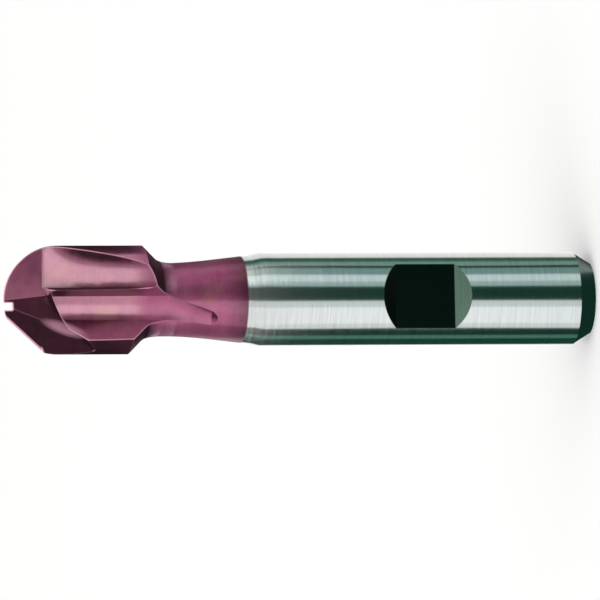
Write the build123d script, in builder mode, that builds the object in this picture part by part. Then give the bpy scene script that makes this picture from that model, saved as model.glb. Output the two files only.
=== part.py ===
"""Ball nose end mill: a fluted head, a waisted neck and a plain shank with a driving flat."""

import math
import os

from build123d import *

# Driving dimensions in millimetres and degrees.
shank_diameter = 12.0
shank_length = 45.0
head_diameter = 14.0
overall_length = 77.0
tooth_length = 18.0
short_tooth_loss = 1.85
neck_diameter = 9.45
neck_root_diameter = 11.4
neck_hollow = 3.2
shoulder_bevel = 1.3
end_chamfer_length = 2.2
end_chamfer_depth = 1.35
flat_length = 7.8
flat_centre = 22.5
flat_depth = 1.68
flat_ramp_angle = 41.0
flat_turn = 4.5
notch_width = 0.95
notch_offset = 0.8
notch_depth = 1.15

# Lengths that follow from them.
ball = head_diameter / 2
shank = shank_diameter / 2
neck = neck_diameter / 2
neck_root = neck_root_diameter / 2
tip = overall_length
step_top = tip - tooth_length
step_foot = step_top - (ball - neck)
far = 1.5


def head_point(along, up, out):
    """A point of the head from its distance behind the tip, height and reach, in ball radii."""
    return Vector(up * ball, -out * ball, tip - along * ball)


def section(along, turn, points):
    """One closed section of a flute cutter, square to the axis: an arc, then straight sides."""
    level = Plane((0, 0, tip - along * ball)).rotated((0, 0, turn))
    flat = [(up * ball, -out * ball) for up, out in points]
    with BuildSketch(level) as drawn:
        with BuildLine():
            ThreePointArc(*flat[:3])
            Polyline(*flat[2:], flat[0])
        make_face()
    return drawn.sketch


def rake_section(along, turn, lowest, hollow):
    """Section of the cut that leaves a hollow rake face, with its lowest line at 0.36 up."""

    def reach(up):
        return lowest + hollow - math.sqrt(hollow**2 - (up - 0.36) ** 2)

    arc = [(up, reach(up)) for up in (0.23, 0.65, 1.08)]
    return section(along, turn, [*arc, (1.2, far), (0.07, far)])


def floor_section(along, turn, top, foot, wall):
    """Section of the cut that leaves the flute's floor and the back wall of the next tooth."""
    middle = ((top[0] + foot[0]) / 2, (top[1] + foot[1]) / 2 - 0.045)
    beyond = (foot[0] - wall[0], foot[1] + wall[1])
    above = (top[0] + 0.45, top[1] + 0.45)
    return section(along, turn, [top, middle, foot, beyond, (0.8, far), above])


def facet(turn, base, per_along, per_up, outline, clear=None):
    """Clears what stands in front of a plane of the head, inside an outline drawn on it."""
    normal = Vector(-per_up, -1, per_along).rotate(Axis.Z, turn)
    bed = Plane(head_point(0, 0, base).rotate(Axis.Z, turn), z_dir=normal)
    corners = []
    for along, up in outline:
        corner = head_point(along, up, base + per_along * along + per_up * up)
        local = bed.to_local_coords(corner.rotate(Axis.Z, turn))
        corners.append((local.X, local.Y))
    with BuildSketch(bed) as drawn:
        with BuildLine():
            Polyline(*corners, close=True)
        make_face()
    way = Vector(clear).rotate(Axis.Z, turn) if clear else normal
    extrude(drawn.sketch, amount=3 * ball, dir=way, mode=Mode.SUBTRACT)


def step_profile(rise):
    """Lines up the hollow behind the teeth from the neck to the head, raised by an amount."""
    low = (neck, step_foot - 0.5 * neck_hollow + rise)
    high = (neck + 0.3 * (ball - neck), step_foot + 0.3 * (ball - neck) + rise)
    Spline(low, high, tangents=((0.05, 1), (1, 1)))
    Line(high, (ball, step_top + rise))
    return low


with BuildPart() as end_mill:
    # Turned blank with ball nose, step, waist, shoulder bevel, shank and end chamfer.
    with BuildSketch(Plane.XZ):
        with BuildLine():
            Polyline(
                (0, tip),
                (0, 0),
                (shank - end_chamfer_depth, 0),
                (shank, end_chamfer_length),
                (shank, shank_length - shoulder_bevel),
                (neck_root, shank_length),
            )
            waist = step_profile(0)
            Spline((neck_root, shank_length), waist, tangents=((-0.11, 1), (-0.03, 1)))
            Line((ball, step_top), (ball, tip - ball))
            RadiusArc((ball, tip - ball), (0, tip), -ball)
        make_face()
    revolve(axis=Axis.Z)
    # The two flutes, each a hollow rake face and a lower floor that runs out in the neck.
    for turn in (0, 180):
        loft(
            [
                rake_section(0.72, turn, 0.03, 6.0),
                rake_section(1.59, turn, 0.28, 0.9),
                rake_section(2.92, turn, 0.92, 0.83),
            ],
            mode=Mode.SUBTRACT,
        )
        loft(
            [
                floor_section(0.77, turn, (0.066, 0.33), (-0.36, 0.245), (0.7, 0.8)),
                floor_section(2.98, turn, (0.074, 0.67), (-0.376, 0.56), (0.96, 0.5)),
                floor_section(3.77, turn, (-0.19, 0.715), (-0.495, 0.55), (0.96, 0.5)),
                floor_section(3.95, turn, (-0.25, 0.79), (-0.50, 0.64), (0.96, 0.5)),
            ],
            ruled=True,
            mode=Mode.SUBTRACT,
        )
        # The gash of each tooth, a rake facet above its root line and a wall below it.
        root, root_end = (-0.3, -0.039), (0.816, 0.085)
        facet(turn, 0.036, 0.048, 0, [root, root_end, (0.76, 0.3), (0.76, 1.3), (-0.3, 1.3)])
        facet(turn, 0.034, 0.086, -0.345, [root, root_end, (1.47, -1.2), (-0.3, -1.2)])
    # The relief ground behind each nose edge, less of it behind the tooth that reaches the centre.
    for turn, kept in ((0, 0.02), (180, 0.13)):
        border = [(0.87, -0.36), (1.6, -0.9), (1.6, -2), (-0.5, -2), (-0.5, 0.5)]
        facet(turn, 0.096 + kept, 0.449, 0.55, border, clear=(-0.3, -1, -0.6))
    # The centre notch, open right through the tip.
    with Locations((-notch_offset, 0, tip)):
        Box(notch_width, 4 * ball, 2 * notch_depth, mode=Mode.SUBTRACT)
    # The shorter tooth ends nearer the tip than the other.
    with BuildSketch(Plane.XZ.rotated((0, 0, 90))):
        with BuildLine():
            raised = step_profile(short_tooth_loss)
            Polyline(
                (ball, step_top + short_tooth_loss),
                (2 * ball, step_top + short_tooth_loss),
                (2 * ball, raised[1] - short_tooth_loss),
                (neck, raised[1] - short_tooth_loss),
                raised,
            )
        make_face()
    revolve(axis=Axis.Z, revolution_arc=180, mode=Mode.SUBTRACT)
    # The driving flat with its two ramps.
    ramp = 2 * flat_depth / math.tan(math.radians(flat_ramp_angle))
    with BuildSketch(Plane.YZ.rotated((0, 0, flat_turn))):
        with Locations((-shank, flat_centre)):
            Polygon(
                (flat_depth, -flat_length / 2),
                (flat_depth, flat_length / 2),
                (-flat_depth, flat_length / 2 + ramp),
                (-flat_depth, -flat_length / 2 - ramp),
                align=None,
            )
    extrude(amount=2 * shank, both=True, mode=Mode.SUBTRACT)

os.makedirs("parts", exist_ok=True)
end_mill.part.label = "end_mill"
export_step(end_mill.part, "parts/end_mill.step")
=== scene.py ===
"""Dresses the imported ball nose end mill: ground steel shank, rose coating, stage and camera."""

import math

import bpy
import numpy as np
from bpy.props import FloatProperty, FloatVectorProperty, PointerProperty
from mathutils import Matrix, Vector

bl_info = {
    "name": "Ball Nose End Mill",
    "version": (1, 0, 0),
    "blender": (4, 5, 0),
    "location": "View3D > Sidebar > End Mill",
    "description": "Finishes a coated ball nose end mill and lights it with cards",
    "category": "Object",
}

MILL = "end_mill"
MILLIMETRE = 0.001

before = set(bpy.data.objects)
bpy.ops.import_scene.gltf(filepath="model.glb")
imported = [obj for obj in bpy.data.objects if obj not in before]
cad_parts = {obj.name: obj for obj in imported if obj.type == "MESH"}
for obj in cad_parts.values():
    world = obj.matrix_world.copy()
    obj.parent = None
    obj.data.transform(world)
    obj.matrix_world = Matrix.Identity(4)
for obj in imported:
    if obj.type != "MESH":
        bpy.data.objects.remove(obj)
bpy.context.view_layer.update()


def linear(hex_colour):
    """An sRGB hex colour as linear red, green, blue and alpha."""
    parts = [int(hex_colour[i : i + 2], 16) / 255 for i in (1, 3, 5)]
    curve = [c / 12.92 if c <= 0.04045 else ((c + 0.055) / 1.055) ** 2.4 for c in parts]
    return (*curve, 1.0)


def add_node(tree, kind, settings=None, **links):
    """Adds a node with its settings, and joins or sets its inputs.

    A link is named for its input, with __ for a space, or i and the input's number. Its value
    is a socket to join, or a plain value for that input.
    """
    node = tree.nodes.new(kind)
    for name, value in (settings or {}).items():
        setattr(node, name, value)
    for name, value in links.items():
        number = name[1:] if name.startswith("i") else ""
        socket = node.inputs[int(number) if number.isdigit() else name.replace("__", " ")]
        if isinstance(value, bpy.types.NodeSocket):
            tree.links.new(value, socket)
        else:
            socket.default_value = value
    return node


def new_material(name):
    """An empty node material and its tree."""
    material = bpy.data.materials.new(name)
    material.use_nodes = True
    material.node_tree.nodes.clear()
    return material, material.node_tree


def grid_faces(rows, columns):
    """Quads of a grid of rows by columns points, wound so that they face row cross column."""
    start = np.arange(rows * columns).reshape(rows, columns)
    corners = (start[:-1, :-1], start[1:, :-1], start[1:, 1:], start[:-1, 1:])
    return np.stack([c.ravel() for c in corners], axis=1)


def surface(name, points, material):
    """A smooth mesh object from a grid of points, one row of the array for each grid line."""
    rows, columns = points.shape[:2]
    mesh = bpy.data.meshes.new(name)
    mesh.from_pydata(points.reshape(-1, 3).tolist(), [], grid_faces(rows, columns).tolist())
    mesh.shade_smooth()
    mesh.materials.append(material)
    obj = bpy.data.objects.new(name, mesh)
    bpy.context.scene.collection.objects.link(obj)
    return obj


# Finish of the tool

# Each of these ranges turns a measure into a share of an effect, which begins at From Min and is
# full at From Max.

# Places on the tool, in metres: reach from the axis, distance along the flat, and heights.
FLAT_REACH = dict(From__Min=0.00598, From__Max=0.00592)
FLAT_LENGTH = dict(From__Min=0.00488, From__Max=0.00478)
BEVEL_LEVEL = dict(From__Min=0.0433, From__Max=0.0435, To__Min=1.0, To__Max=0.0)
HEAD_GLOSS = dict(From__Min=0.0585, From__Max=0.0615)
RIDGE_SIDE = dict(From__Min=0.0019, From__Max=0.0016)
RIDGE_TOP = dict(From__Min=0.0712, From__Max=0.0706)

# Directions, as parts of a face's normal: a step looks down at the shank, the ridge looks along
# X, and the relief looks up and away from its cutting edge. Faces that point these ways are
# painted dark: painted shade and painted dark reflection.
STEP_SHADE = dict(From__Min=-0.12, From__Max=-0.4, To__Max=0.92)
RIDGE_SHADE = dict(From__Min=0.61, From__Max=0.72, To__Max=0.75)
RELIEF_RISE = dict(From__Min=0.2, From__Max=0.3)
RELIEF_SHADE = dict(From__Min=0.38, From__Max=0.45, To__Max=0.55)

# How strongly the marks, straw tints, painted corner shade and painted edge highlights show.
# The edges' highlight share runs from an open edge to the undercut ridge's edge, where it is held
# back.
MARK_SHADE = dict(From__Min=0.3, From__Max=0.7, To__Min=0.9, To__Max=1.06)
STRAW_SHARE = dict(From__Min=0.54, From__Max=0.72, To__Max=0.25)
CORNER_SHADE = dict(From__Min=0.45, From__Max=0.9, To__Min=0.25)
EDGE_OPEN = dict(From__Min=0.9, From__Max=0.5)
EDGE_HIGHLIGHT = dict(To__Min=0.75, To__Max=0.05)
PATCH_HIGHLIGHT = dict(From__Min=1.05, From__Max=0.5, To__Max=0.38)

# A painted highlight at the nose lies in an ellipsoid, turned to lie along the gash.
HIGHLIGHT_PATCH = dict(
    Location=(-0.0036, -0.0028, 0.0696),
    Rotation=(0.0, math.radians(20.4), 0.0),
    Scale=(0.0009, 0.0032, 0.0034),
)

# Shares and sizes of the finish that no user needs to change.
MARK_DEPTH = 0.01 * MILLIMETRE
MARKS_SMOOTHER, MARKS_ROUGHER = 0.03, 0.05
MARKS_IN_CLOUDS = 0.2
CLOUD_ROUGHNESS = 0.04
ROSE_DARKEST, ROSE_LIGHTEST = 0.35, 0.65
FOOT_SHADE, FOOT_LENGTH = 0.35, 0.003
NECK_COAT, HEAD_COAT = 0.25, 1.0


def ground_lines(tree, finish, place):
    """Noise drawn out round the axis and kept fine along it, as cylindrical grinding leaves it.

    The scales are a mark's real length round the axis and its width along it.
    """
    around = 1 / (finish.mark_length * MILLIMETRE)
    along = 1 / (finish.mark_width * MILLIMETRE)
    fit = add_node(
        tree,
        "ShaderNodeMapping",
        Vector=place.outputs["Object"],
        Scale=(around, around, along),
    )
    return add_node(
        tree,
        "ShaderNodeTexNoise",
        Vector=fit.outputs["Vector"],
        Scale=1.0,
        Detail=3.0,
        Roughness=0.6,
    )


def milled_share(tree, finish, split):
    """Where the driving flat is: nearer the axis than the ground wall, and near its own middle."""
    level = add_node(tree, "ShaderNodeCombineXYZ", X=split.outputs["X"], Y=split.outputs["Y"])
    reach = add_node(
        tree, "ShaderNodeVectorMath", {"operation": "LENGTH"}, i0=level.outputs["Vector"]
    )
    inside = add_node(tree, "ShaderNodeMapRange", Value=reach.outputs["Value"], **FLAT_REACH)
    off_middle = add_node(
        tree,
        "ShaderNodeMath",
        {"operation": "SUBTRACT"},
        i0=split.outputs["Z"],
        i1=finish.flat_middle,
    )
    distance = add_node(
        tree, "ShaderNodeMath", {"operation": "ABSOLUTE"}, i0=off_middle.outputs["Value"]
    )
    between = add_node(tree, "ShaderNodeMapRange", Value=distance.outputs["Value"], **FLAT_LENGTH)
    return add_node(
        tree,
        "ShaderNodeMath",
        {"operation": "MULTIPLY"},
        i0=inside.outputs["Result"],
        i1=between.outputs["Result"],
    )


def levelled_normal(tree, split):
    """The normal, laid level above the shoulder's foot, so that the bands run over the bevel."""
    tilt = add_node(tree, "ShaderNodeMapRange", Value=split.outputs["Z"], **BEVEL_LEVEL)
    squash = add_node(tree, "ShaderNodeCombineXYZ", X=1.0, Y=1.0, Z=tilt.outputs["Result"])
    facing = add_node(tree, "ShaderNodeNewGeometry")
    levelled = add_node(
        tree,
        "ShaderNodeVectorMath",
        {"operation": "MULTIPLY"},
        i0=facing.outputs["Normal"],
        i1=squash.outputs["Vector"],
    )
    return add_node(
        tree, "ShaderNodeVectorMath", {"operation": "NORMALIZE"}, i0=levelled.outputs["Vector"]
    )


def ground_steel(tree, finish, split, marks):
    """Cylindrically ground tool steel, which mirrors the studio in long bands along the shank.

    Fine rings run round it. The milled driving flat is darker than the ground wall, partly from
    its milled finish and partly as a painted dark reflection.
    """
    shade = add_node(tree, "ShaderNodeMapRange", Value=marks.outputs["Fac"], **MARK_SHADE)
    colour = add_node(
        tree,
        "ShaderNodeVectorMath",
        {"operation": "SCALE"},
        Vector=finish.steel_colour,
        Scale=shade.outputs["Result"],
    )
    milled = milled_share(tree, finish, split)
    metal = add_node(
        tree,
        "ShaderNodeMix",
        {"data_type": "RGBA"},
        Factor=milled.outputs["Value"],
        i6=colour.outputs["Vector"],
        i7=(*finish.milled_and_shaded_colour, 1.0),
    )
    rough = add_node(
        tree,
        "ShaderNodeMapRange",
        Value=marks.outputs["Fac"],
        To__Min=finish.steel_roughness - MARKS_SMOOTHER,
        To__Max=finish.steel_roughness + MARKS_ROUGHER,
    )
    normal = levelled_normal(tree, split)
    bump = add_node(
        tree,
        "ShaderNodeBump",
        Height=marks.outputs["Fac"],
        Strength=0.12,
        Distance=MARK_DEPTH,
        Normal=normal.outputs["Vector"],
    )
    tangent = add_node(tree, "ShaderNodeTangent", {"direction_type": "RADIAL", "axis": "Z"})
    return add_node(
        tree,
        "ShaderNodeBsdfPrincipled",
        Base__Color=metal.outputs["Result"],
        Metallic=1.0,
        Roughness=rough.outputs["Result"],
        Anisotropic=0.5,
        Anisotropic__Rotation=0.25,
        Tangent=tangent.outputs["Tangent"],
        Normal=bump.outputs["Normal"],
    )


def coating_colour(tree, finish, place, split, clouds, marks):
    """Rose that clouds and marks vary, with straw tints, painted shade in inner corners, and a
    neck that darkens towards its foot.
    """
    blend = add_node(
        tree,
        "ShaderNodeMix",
        {"data_type": "FLOAT"},
        Factor=MARKS_IN_CLOUDS,
        i2=clouds.outputs["Fac"],
        i3=marks.outputs["Fac"],
    )
    rose = add_node(tree, "ShaderNodeValToRGB", Fac=blend.outputs["Result"])
    dark, light = rose.color_ramp.elements
    dark.position, light.position = ROSE_DARKEST, ROSE_LIGHTEST
    dark.color = (*finish.coating_dark, 1.0)
    light.color = (*finish.coating_light, 1.0)
    # Straw tints lie in patches a few millimetres wide, where the coating cooled unevenly.
    patches = add_node(
        tree,
        "ShaderNodeTexNoise",
        Vector=place.outputs["Object"],
        Scale=1 / (finish.patch_size * MILLIMETRE),
        Detail=2.0,
    )
    straw = add_node(tree, "ShaderNodeMapRange", Value=patches.outputs["Fac"], **STRAW_SHARE)
    tinted = add_node(
        tree,
        "ShaderNodeMix",
        {"data_type": "RGBA"},
        Factor=straw.outputs["Result"],
        i6=rose.outputs["Color"],
        i7=(*finish.straw_colour, 1.0),
    )
    # Painted shade darkens inner corners, and the neck darkens towards its foot.
    corner = add_node(
        tree,
        "ShaderNodeAmbientOcclusion",
        {"only_local": True, "samples": 8},
        Distance=finish.corner_width,
    )
    corner_shade = add_node(tree, "ShaderNodeMapRange", Value=corner.outputs["AO"], **CORNER_SHADE)
    foot_shade = add_node(
        tree,
        "ShaderNodeMapRange",
        Value=split.outputs["Z"],
        From__Min=finish.coating_end,
        From__Max=finish.coating_end + FOOT_LENGTH,
        To__Min=FOOT_SHADE,
    )
    darker = add_node(
        tree,
        "ShaderNodeMath",
        {"operation": "MULTIPLY"},
        i0=corner_shade.outputs["Result"],
        i1=foot_shade.outputs["Result"],
    )
    return add_node(
        tree,
        "ShaderNodeVectorMath",
        {"operation": "SCALE"},
        i0=tinted.outputs["Result"],
        Scale=darker.outputs["Value"],
    )


def painted_shade_share(tree, gloss):
    """How much painted shade a face takes, from the way that it points.

    The steps that face the shank, the undercut ridge between a rake face and its flute floor,
    and the relief behind the nose edge are painted dark: painted shade and painted dark
    reflection, which stay the same under any light.
    """
    facing = add_node(tree, "ShaderNodeNewGeometry")
    parts = add_node(tree, "ShaderNodeSeparateXYZ", Vector=facing.outputs["Normal"])
    step = add_node(tree, "ShaderNodeMapRange", Value=parts.outputs["Z"], **STEP_SHADE)
    # X times the sign of Y is the same on both teeth, which are half a turn apart.
    side = add_node(tree, "ShaderNodeMath", {"operation": "SIGN"}, i0=parts.outputs["Y"])
    across = add_node(
        tree,
        "ShaderNodeMath",
        {"operation": "MULTIPLY"},
        i0=parts.outputs["X"],
        i1=side.outputs["Value"],
    )
    under = add_node(tree, "ShaderNodeMapRange", Value=across.outputs["Value"], **RIDGE_SHADE)
    ridge = add_node(
        tree,
        "ShaderNodeMath",
        {"operation": "MULTIPLY"},
        i0=gloss.outputs["Result"],
        i1=under.outputs["Result"],
    )
    upward = add_node(tree, "ShaderNodeMapRange", Value=parts.outputs["Z"], **RELIEF_RISE)
    backward = add_node(tree, "ShaderNodeMapRange", Value=across.outputs["Value"], **RELIEF_SHADE)
    relief = add_node(
        tree,
        "ShaderNodeMath",
        {"operation": "MULTIPLY"},
        i0=upward.outputs["Result"],
        i1=backward.outputs["Result"],
    )
    head = add_node(
        tree,
        "ShaderNodeMath",
        {"operation": "MAXIMUM"},
        i0=relief.outputs["Value"],
        i1=ridge.outputs["Value"],
    )
    return add_node(
        tree,
        "ShaderNodeMath",
        {"operation": "MAXIMUM"},
        i0=step.outputs["Result"],
        i1=head.outputs["Value"],
    )


def painted_highlight_share(tree, finish, place, split, gloss):
    """How much painted highlight the coating takes: on outer edges, and in a patch at the nose."""
    # The painted highlight is held back on the edge of the undercut ridge beside the axis, so that
    # edge stays dark.
    aside = add_node(tree, "ShaderNodeMath", {"operation": "ABSOLUTE"}, i0=split.outputs["X"])
    beside = add_node(tree, "ShaderNodeMapRange", Value=aside.outputs["Value"], **RIDGE_SIDE)
    below = add_node(tree, "ShaderNodeMapRange", Value=split.outputs["Z"], **RIDGE_TOP)
    near = add_node(
        tree,
        "ShaderNodeMath",
        {"operation": "MULTIPLY"},
        i0=beside.outputs["Result"],
        i1=below.outputs["Result"],
    )
    held_back = add_node(
        tree,
        "ShaderNodeMath",
        {"operation": "MULTIPLY"},
        i0=near.outputs["Value"],
        i1=gloss.outputs["Result"],
    )
    most = add_node(tree, "ShaderNodeMapRange", Value=held_back.outputs["Value"], **EDGE_HIGHLIGHT)
    # A ray into the metal soon comes out again only beside an outer edge.
    edge = add_node(
        tree,
        "ShaderNodeAmbientOcclusion",
        {"inside": True, "only_local": True, "samples": 8},
        Distance=finish.edge_width,
    )
    highlit = add_node(
        tree,
        "ShaderNodeMapRange",
        Value=edge.outputs["AO"],
        To__Max=most.outputs["Result"],
        **EDGE_OPEN,
    )
    patch = add_node(
        tree,
        "ShaderNodeMapping",
        {"vector_type": "TEXTURE"},
        Vector=place.outputs["Object"],
        **HIGHLIGHT_PATCH,
    )
    reach = add_node(
        tree, "ShaderNodeVectorMath", {"operation": "LENGTH"}, i0=patch.outputs["Vector"]
    )
    lit_patch = add_node(tree, "ShaderNodeMapRange", Value=reach.outputs["Value"], **PATCH_HIGHLIGHT)
    return add_node(
        tree,
        "ShaderNodeMath",
        {"operation": "MAXIMUM"},
        i0=highlit.outputs["Result"],
        i1=lit_patch.outputs["Result"],
    )


def rose_coating(tree, finish, place, split, marks):
    """Hard coating on ground steel: deep rose metal under a clear, glossier top layer.

    It is satin on the neck and glossy on the head. Painted shade darkens the steps, ridge and
    relief, and painted highlights brighten the outer edges and a patch at the nose.
    """
    clouds = add_node(
        tree,
        "ShaderNodeTexNoise",
        Vector=place.outputs["Object"],
        Scale=1 / (finish.cloud_size * MILLIMETRE),
        Detail=6.0,
        Roughness=0.65,
    )
    colour = coating_colour(tree, finish, place, split, clouds, marks)
    bump = add_node(
        tree, "ShaderNodeBump", Height=marks.outputs["Fac"], Strength=0.08, Distance=MARK_DEPTH
    )
    # A hard nitride bends light strongly, so the clear layer's index is far above a lacquer's.
    layers = []
    for roughness, coat in (
        (finish.neck_roughness, NECK_COAT),
        (finish.coating_roughness, HEAD_COAT),
    ):
        cloudy = add_node(
            tree,
            "ShaderNodeMapRange",
            Value=clouds.outputs["Fac"],
            To__Min=roughness - CLOUD_ROUGHNESS,
            To__Max=roughness + CLOUD_ROUGHNESS,
        )
        layer = add_node(
            tree,
            "ShaderNodeBsdfPrincipled",
            Base__Color=colour.outputs["Vector"],
            Metallic=1.0,
            Roughness=cloudy.outputs["Result"],
            Normal=bump.outputs["Normal"],
            Coat__Weight=coat,
            Coat__IOR=2.4,
            Coat__Roughness=0.16,
        )
        layers.append(layer)
    satin, glossy = layers
    gloss = add_node(
        tree,
        "ShaderNodeMapRange",
        {"interpolation_type": "SMOOTHSTEP"},
        Value=split.outputs["Z"],
        **HEAD_GLOSS,
    )
    clean = add_node(
        tree,
        "ShaderNodeMixShader",
        Fac=gloss.outputs["Result"],
        i1=satin.outputs["BSDF"],
        i2=glossy.outputs["BSDF"],
    )
    # Painted shade: a dark matt layer over the steps, ridge and relief, by the way that they
    # point.
    shaded = painted_shade_share(tree, gloss)
    shade_bsdf = add_node(tree, "ShaderNodeBsdfDiffuse", Color=(*finish.shade_colour, 1.0))
    blackened = add_node(
        tree,
        "ShaderNodeMixShader",
        Fac=shaded.outputs["Value"],
        i1=clean.outputs["Shader"],
        i2=shade_bsdf.outputs["BSDF"],
    )
    bright = painted_highlight_share(tree, finish, place, split, gloss)
    # Painted highlight: a pale matt layer on the outer edges and the patch at the nose.
    highlight_bsdf = add_node(tree, "ShaderNodeBsdfDiffuse", Color=(*finish.highlight_colour, 1.0))
    return add_node(
        tree,
        "ShaderNodeMixShader",
        Fac=bright.outputs["Value"],
        i1=blackened.outputs["Shader"],
        i2=highlight_bsdf.outputs["BSDF"],
    )


class MillFinish(bpy.types.PropertyGroup):
    """Colours and sizes of the tool's two finishes."""

    steel_colour: FloatVectorProperty(
        name="Steel", description="Colour of the ground shank",
        default=linear("#C2C6C3")[:3], subtype="COLOR", min=0.0, max=1.0,
    )
    steel_roughness: FloatProperty(
        name="Steel roughness", description="Gloss of the ground shank",
        default=0.16, min=0.05, max=1.0,
    )
    mark_width: FloatProperty(
        name="Mark width", description="Width of a grinding mark in millimetres",
        default=0.2, min=0.01,
    )
    mark_length: FloatProperty(
        name="Mark length", description="Length of a grinding mark in millimetres",
        default=6.0, min=0.1,
    )
    # The flat's colour is darkened beyond its milled finish, as a painted dark reflection.
    milled_and_shaded_colour: FloatVectorProperty(
        name="Flat", description="Colour of the milled driving flat",
        default=linear("#555856")[:3], subtype="COLOR", min=0.0, max=1.0,
    )
    flat_middle: FloatProperty(
        name="Flat's middle", description="Height of the middle of the flat and its ramps",
        default=0.02345, subtype="DISTANCE", unit="LENGTH",
    )
    coating_light: FloatVectorProperty(
        name="Coating, light", description="Lighter colour of the coating's clouds",
        default=linear("#C06C92")[:3], subtype="COLOR", min=0.0, max=1.0,
    )
    coating_dark: FloatVectorProperty(
        name="Coating, dark", description="Darker colour of the coating's clouds",
        default=linear("#A85880")[:3], subtype="COLOR", min=0.0, max=1.0,
    )
    straw_colour: FloatVectorProperty(
        name="Straw tint", description="Colour of the coating where it cooled unevenly",
        default=linear("#C59A72")[:3], subtype="COLOR", min=0.0, max=1.0,
    )
    # The colour of the painted highlights on the outer edges and at the nose.
    highlight_colour: FloatVectorProperty(
        name="Worn edges", description="Colour of the edges that are painted bright",
        default=linear("#EBB0C6")[:3], subtype="COLOR", min=0.0, max=1.0,
    )
    # The colour of the painted shade on the steps, ridge and relief.
    shade_colour: FloatVectorProperty(
        name="Soot", description="Colour of the sooty steps, ridge and relief",
        default=linear("#1E1014")[:3], subtype="COLOR", min=0.0, max=1.0,
    )
    coating_roughness: FloatProperty(
        name="Coating roughness", description="Gloss of the coating on the head",
        default=0.31, min=0.05, max=1.0,
    )
    neck_roughness: FloatProperty(
        name="Neck roughness", description="Gloss of the coating on the neck",
        default=0.48, min=0.05, max=1.0,
    )
    cloud_size: FloatProperty(
        name="Cloud size", description="Size of the coating's clouds in millimetres",
        default=2.5, min=0.1,
    )
    patch_size: FloatProperty(
        name="Patch size", description="Size of the straw tints in millimetres",
        default=4.0, min=0.1,
    )
    # Reach of the painted shade in inner corners.
    corner_width: FloatProperty(
        name="Corner width", description="Reach of the dark inner corners",
        default=0.0008, subtype="DISTANCE", unit="LENGTH", min=0.00001,
    )
    # Width of the painted highlights along the outer edges.
    edge_width: FloatProperty(
        name="Edge width", description="Width of the worn edges",
        default=0.0002, subtype="DISTANCE", unit="LENGTH", min=0.00001,
    )
    coating_end: FloatProperty(
        name="Coating end", description="Height at which the coating ends",
        default=0.046, subtype="DISTANCE", unit="LENGTH", min=0.0,
    )
    coating_fade: FloatProperty(
        name="Coating fade", description="Length over which the coating thins out",
        default=0.0002, subtype="DISTANCE", unit="LENGTH", min=0.0001,
    )


class MILL_OT_finish(bpy.types.Operator):
    """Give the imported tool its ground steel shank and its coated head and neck"""

    bl_idname = "mill.finish"
    bl_label = "Finish the Tool"

    def execute(self, context):
        finish = context.scene.mill_finish
        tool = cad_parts[MILL]
        # Ground tool steel, hard and bright as a mirror along the shank, under a thin rose
        # nitride coating on head and neck, which reads as deep satin metal with pale edges.
        material, tree = new_material("ground_tool_steel_with_rose_nitride_coating")
        place = add_node(tree, "ShaderNodeTexCoord")
        split = add_node(tree, "ShaderNodeSeparateXYZ", Vector=place.outputs["Object"])
        # Real grinding marks are a few hundredths of a millimetre wide. They are drawn at a
        # fifth of a millimetre, so that they still show.
        marks = ground_lines(tree, finish, place)
        steel = ground_steel(tree, finish, split, marks)
        coating = rose_coating(tree, finish, place, split, marks)
        cover = add_node(
            tree,
            "ShaderNodeMapRange",
            {"interpolation_type": "SMOOTHSTEP"},
            Value=split.outputs["Z"],
            From__Min=finish.coating_end - finish.coating_fade / 2,
            From__Max=finish.coating_end + finish.coating_fade / 2,
        )
        both = add_node(
            tree,
            "ShaderNodeMixShader",
            Fac=cover.outputs["Result"],
            i1=steel.outputs["BSDF"],
            i2=coating.outputs["Shader"],
        )
        add_node(tree, "ShaderNodeOutputMaterial", Surface=both.outputs["Shader"])
        if not tool.material_slots:
            tool.data.materials.append(material)
        for holder in tool.material_slots:
            holder.material = material
        return {"FINISHED"}


# Stage

# Each card stands round the tool from one azimuth to the next, in degrees from the camera
# towards +X, and has the colour and strength that the metal shows of it.
SHANK_CARDS = (
    ("white_far", 122, 205, "#F4F6F4", 1.3),
    ("flag_far", 105, 122, "#3B5A4F", 1.3),
    ("grey_far", 90, 105, "#7FA497", 1.2),
    ("flag_thin", 82, 90, "#0A2E25", 1.0),
    ("grey_outer", 62, 82, "#7C9E99", 1.2),
    ("grey_middle", 44, 62, "#CBDCDF", 1.4),
    ("grey_inner", 31, 44, "#9DB9B4", 1.4),
    ("flag_middle", -4, 31, "#07392C", 1.2),
    ("white_inner", -20, -4, "#D6DFE1", 1.4),
    ("white_middle", -62, -20, "#F8F8FC", 1.5),
    ("white_outer", -77, -62, "#DDE2E4", 1.5),
    ("flag_low", -100, -77, "#08372B", 1.2),
    ("grey_low", -114, -100, "#4F8474", 1.2),
    ("flag_lowest", -155, -114, "#123F31", 1.3),
)
NECK_CARDS = (
    ("far", 94, 205, "#1E1719", 1.0),
    ("outer", 36, 94, "#FFF6F8", 3.3),
    ("flag", 0, 36, "#D2C6CB", 1.0),
    ("inner", -60, 0, "#FFF8FA", 0.9),
    ("low", -155, -60, "#F8ECF0", 2.2),
)
HEAD_CARDS = (
    ("far", 112, 205, "#120D0C", 1.0),
    ("outer", 86, 112, "#E6CCD6", 1.0),
    ("middle", 52, 86, "#8E6474", 1.0),
    ("flag", -3, 52, "#100A0B", 1.0),
    ("inner", -34, -3, "#FFFAF4", 1.3),
    ("shade", -76, -34, "#E4D2D6", 1.2),
    ("flag_low", -155, -76, "#0E0B0B", 1.0),
)
# These stand on the head's cards, and only the hollow rake faces mirror them.
BROW_CARDS = (
    ("inner", -32, 8, "#FFFAF4", 1.25),
    ("shade", -44, -32, "#A8989C", 1.0),
    ("back", 148, 188, "#FFFAF4", 1.25),
    ("back_shade", 136, 148, "#A8989C", 1.0),
)

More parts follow.
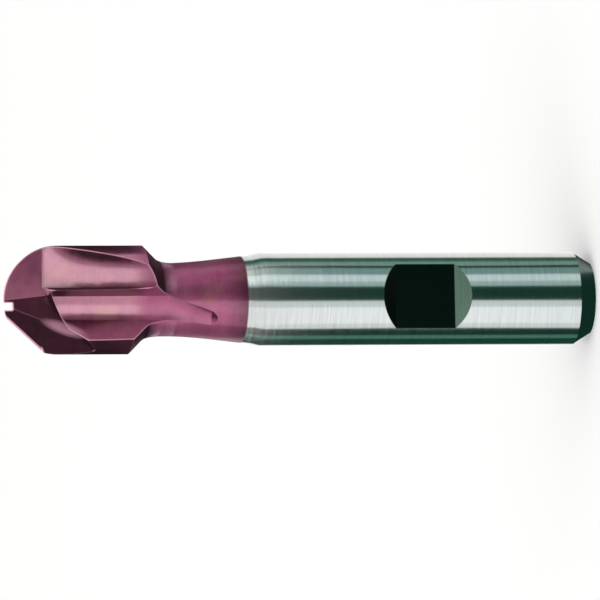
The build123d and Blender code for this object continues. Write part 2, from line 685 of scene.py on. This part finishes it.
# Level discs, each with its radius, then its place along X and its height. The one above lights
# the flat's lower ramp, and the one below darkens the end chamfer.
DISCS = (
    ("above", 0.11, (0.0, 0.25), "#7A9D8A"),
    ("below", 0.018, (-0.008, -0.008), "#14382E"),
)

# Grid lines of the stage's pieces, which need only be smooth enough for a clean edge.
FLOOR_LINES = 9
CARD_LINES = 13
DISC_RINGS, DISC_LINES = 3, 33

# The metal mirrors a dark room beyond the cards, and a paler one steeply below.
ROOM_LEVEL = "#18211E"
ROOM_BELOW = "#8F9D98"
BELOW_SHARE = dict(From__Min=-0.4, From__Max=-0.7)


def card_points(start, end, radius, low, high):
    """An upright strip of a round tent.

    X is the radius times the sine of the angle, and Y is minus the radius times its cosine, so
    the angle runs from -Y towards +X. Z goes from the low height to the high one.
    """
    angles = np.radians(np.linspace(start, end, CARD_LINES))
    angle, height = np.meshgrid(angles, np.linspace(low, high, 2), indexing="ij")
    return np.stack([radius * np.sin(angle), -radius * np.cos(angle), height], axis=-1)


def disc_points(radius, side, height):
    """A level disc: reach times cosine and sine of the angle, moved along X by side."""
    angles = np.linspace(0, 2 * math.pi, DISC_LINES)
    radii = np.linspace(0, radius, DISC_RINGS)
    reach, angle = np.meshgrid(radii, angles, indexing="ij")
    level = np.full_like(reach, height)
    return np.stack([side + reach * np.cos(angle), reach * np.sin(angle), level], axis=-1)


def glow(name, hex_colour, strength):
    """A card lit evenly from behind: it shows its own colour and no shading."""
    material, tree = new_material(name)
    light = add_node(tree, "ShaderNodeEmission", Color=linear(hex_colour), Strength=strength)
    add_node(tree, "ShaderNodeOutputMaterial", Surface=light.outputs["Emission"])
    return material


def stand_card(name, points, hex_colour, strength):
    """Adds a lit card to the stage, which shows in the metal and nowhere else."""
    card = surface(f"stage_card_{name}", points, glow(f"card_{name}", hex_colour, strength))
    card.visible_camera = False
    card.visible_diffuse = False
    card.visible_shadow = False
    card.visible_transmission = False
    card.visible_volume_scatter = False


class MillStage(bpy.types.PropertyGroup):
    """Sizes of the floor, cards and lamp."""

    floor_half: FloatProperty(
        name="Floor half width", description="Half the floor's width",
        default=3.0, subtype="DISTANCE", unit="LENGTH", min=0.1,
    )
    card_radius: FloatProperty(
        name="Card radius", description="Distance of the cards from the tool's axis",
        default=0.09, subtype="DISTANCE", unit="LENGTH", min=0.02,
    )
    card_low: FloatProperty(
        name="Card foot", description="Height of the cards' lower edge",
        default=-0.03, subtype="DISTANCE", unit="LENGTH",
    )
    neck_low: FloatProperty(
        name="Neck cards' foot", description="Height at which the neck's cards begin",
        default=0.031, subtype="DISTANCE", unit="LENGTH",
    )
    head_low: FloatProperty(
        name="Head cards' foot", description="Height at which the head's cards begin",
        default=0.038, subtype="DISTANCE", unit="LENGTH",
    )
    brow_low: FloatProperty(
        name="Brow cards' foot", description="Height at which the brow's cards begin",
        default=0.08, subtype="DISTANCE", unit="LENGTH",
    )
    card_high: FloatProperty(
        name="Card top", description="Height of the cards' upper edge",
        default=0.17, subtype="DISTANCE", unit="LENGTH",
    )
    world_strength: FloatProperty(
        name="Room light", description="Strength of the even light of the room",
        default=0.99, min=0.0,
    )
    lamp_power: FloatProperty(
        name="Lamp power", description="Power of the soft lamp in watts",
        default=0.7, min=0.0,
    )
    lamp_size: FloatProperty(
        name="Lamp size", description="Width of the soft lamp",
        default=0.5, subtype="DISTANCE", unit="LENGTH", min=0.01,
    )
    lamp_place: FloatVectorProperty(
        name="Lamp place", description="Where the soft lamp hangs",
        default=(-0.25, -0.35, 0.75), subtype="TRANSLATION", unit="LENGTH",
    )


class MILL_OT_stage(bpy.types.Operator):
    """Add the pale floor, the cards that the metal mirrors, the lamp and the white room"""

    bl_idname = "mill.stage"
    bl_label = "Build the Stage"

    def execute(self, context):
        stage = context.scene.mill_stage
        self.lay_floor(stage.floor_half)
        for ring, cards, low, high in (
            ("shank", SHANK_CARDS, stage.card_low, stage.neck_low),
            ("neck", NECK_CARDS, stage.neck_low, stage.head_low),
            ("head", HEAD_CARDS, stage.head_low, stage.brow_low),
            ("brow", BROW_CARDS, stage.brow_low, stage.card_high),
        ):
            for name, start, end, colour, strength in cards:
                points = card_points(start, end, stage.card_radius, low, high)
                stand_card(f"{ring}_{name}", points, colour, strength)
        for name, radius, place, colour in DISCS:
            stand_card(name, disc_points(radius, *place), colour, 1.0)
        self.light_room(context, stage.world_strength)
        self.hang_lamp(context, stage)
        return {"FINISHED"}

    def lay_floor(self, half):
        """A level square of paper, which the metal doesn't mirror."""
        # Matt white paper: even and without gloss, so that it takes only the soft shadow.
        paper, tree = new_material("matt_white_paper")
        matt = add_node(tree, "ShaderNodeBsdfDiffuse", Color=linear("#FBFBFA"), Roughness=0.5)
        add_node(tree, "ShaderNodeOutputMaterial", Surface=matt.outputs["BSDF"])
        steps = np.linspace(-half, half, FLOOR_LINES)
        x, y = np.meshgrid(steps, steps, indexing="ij")
        floor = surface("stage_floor", np.stack([x, y, np.zeros_like(x)], axis=-1), paper)
        floor.visible_glossy = False

    def light_room(self, context, strength):
        """White for the camera and for matt things, and dark in the metal beyond the cards."""
        world = bpy.data.worlds.new("studio_room")
        world.use_nodes = True
        tree = world.node_tree
        tree.nodes.clear()
        ray = add_node(tree, "ShaderNodeLightPath")
        room = add_node(
            tree, "ShaderNodeBackground", Color=linear("#FFFFFF"), Strength=strength
        )
        way = add_node(tree, "ShaderNodeTexCoord")
        parts = add_node(tree, "ShaderNodeSeparateXYZ", Vector=way.outputs["Generated"])
        downward = add_node(tree, "ShaderNodeMapRange", Value=parts.outputs["Z"], **BELOW_SHARE)
        mirror_colour = add_node(
            tree,
            "ShaderNodeMix",
            {"data_type": "RGBA"},
            Factor=downward.outputs["Result"],
            i6=linear(ROOM_LEVEL),
            i7=linear(ROOM_BELOW),
        )
        mirrored = add_node(
            tree, "ShaderNodeBackground", Color=mirror_colour.outputs["Result"], Strength=1.0
        )
        seen = add_node(tree, "ShaderNodeBackground", Color=linear("#FFFFFF"), Strength=1.0)
        metal = add_node(
            tree,
            "ShaderNodeMixShader",
            Fac=ray.outputs["Is Glossy Ray"],
            i1=room.outputs["Background"],
            i2=mirrored.outputs["Background"],
        )
        whole = add_node(
            tree,
            "ShaderNodeMixShader",
            Fac=ray.outputs["Is Camera Ray"],
            i1=metal.outputs["Shader"],
            i2=seen.outputs["Background"],
        )
        add_node(tree, "ShaderNodeOutputWorld", Surface=whole.outputs["Shader"])
        context.scene.world = world

    def hang_lamp(self, context, stage):
        """One large soft lamp above and to the left, which gives the floor its faint shadow."""
        light = bpy.data.lights.new("soft_lamp", "AREA")
        light.shape = "DISK"
        light.size = stage.lamp_size
        light.energy = stage.lamp_power
        lamp = bpy.data.objects.new("soft_lamp", light)
        lamp.location = stage.lamp_place
        lamp.rotation_euler = (-lamp.location).to_track_quat("-Z", "Y").to_euler()
        lamp.visible_glossy = False
        context.scene.collection.objects.link(lamp)


# Camera

NEAREST, FARTHEST = 0.01, 20.0


class MillCamera(bpy.types.PropertyGroup):
    """The camera's angle and framing."""

    elevation: FloatProperty(
        name="Elevation", description="Angle of the view above the floor",
        default=math.radians(12.0), subtype="ANGLE",
    )
    lens: FloatProperty(
        name="Lens", description="Focal length in millimetres",
        default=800.0, min=10.0,
    )
    width: FloatProperty(
        name="View width", description="Width of the picture at the tool's axis",
        default=0.07735, subtype="DISTANCE", unit="LENGTH", min=0.01,
    )
    target: FloatVectorProperty(
        name="Target", description="Point at the middle of the picture",
        default=(-0.00009, 0.0, 0.0381), subtype="TRANSLATION", unit="LENGTH",
    )
    slope: FloatProperty(
        name="Slope", description="Tilt of the tool's axis in the picture",
        default=math.radians(-0.2), subtype="ANGLE",
    )


class MILL_OT_camera(bpy.types.Operator):
    """Place the camera at the side of the standing tool, rolled so that the tip points left"""

    bl_idname = "mill.camera"
    bl_label = "Place the Camera"

    def execute(self, context):
        view = context.scene.mill_camera
        data = bpy.data.cameras.new("camera")
        data.lens = view.lens
        data.clip_start = NEAREST
        data.clip_end = FARTHEST
        camera = bpy.data.objects.new("camera", data)
        distance = view.width * data.lens / data.sensor_width
        rise, level = math.sin(view.elevation), math.cos(view.elevation)
        back = Vector((0, -level, rise))
        right = Vector((0, -rise, -level))
        up = Vector((1, 0, 0))
        place = Matrix.Translation(Vector(view.target) + distance * back)
        turn = Matrix((right, up, back)).transposed().to_4x4()
        camera.matrix_world = place @ turn @ Matrix.Rotation(view.slope, 4, "Z")
        context.scene.collection.objects.link(camera)
        context.scene.camera = camera
        context.scene.view_settings.view_transform = "Standard"
        return {"FINISHED"}


class MILL_PT_tools(bpy.types.Panel):
    """The steps that dress and light the tool"""

    bl_idname = "MILL_PT_tools"
    bl_label = "End Mill"
    bl_space_type = "VIEW_3D"
    bl_region_type = "UI"
    bl_category = "End Mill"

    def draw(self, context):
        for group, operator in (
            (context.scene.mill_finish, MILL_OT_finish.bl_idname),
            (context.scene.mill_stage, MILL_OT_stage.bl_idname),
            (context.scene.mill_camera, MILL_OT_camera.bl_idname),
        ):
            box = self.layout.box()
            for name in group.__annotations__:
                box.prop(group, name)
            box.operator(operator)


CLASSES = (
    MillFinish,
    MillStage,
    MillCamera,
    MILL_OT_finish,
    MILL_OT_stage,
    MILL_OT_camera,
    MILL_PT_tools,
)


def register():
    """Registers the classes and hangs their settings on the scene."""
    for cls in CLASSES:
        bpy.utils.register_class(cls)
    bpy.types.Scene.mill_finish = PointerProperty(type=MillFinish)
    bpy.types.Scene.mill_stage = PointerProperty(type=MillStage)
    bpy.types.Scene.mill_camera = PointerProperty(type=MillCamera)


def unregister():
    """Takes away what register added."""
    del bpy.types.Scene.mill_camera
    del bpy.types.Scene.mill_stage
    del bpy.types.Scene.mill_finish
    for cls in reversed(CLASSES):
        bpy.utils.unregister_class(cls)


def main():
    """Places the camera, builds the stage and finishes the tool."""
    register()
    bpy.ops.mill.camera()
    bpy.ops.mill.stage()
    bpy.ops.mill.finish()


if __name__ == "__main__":
    main()
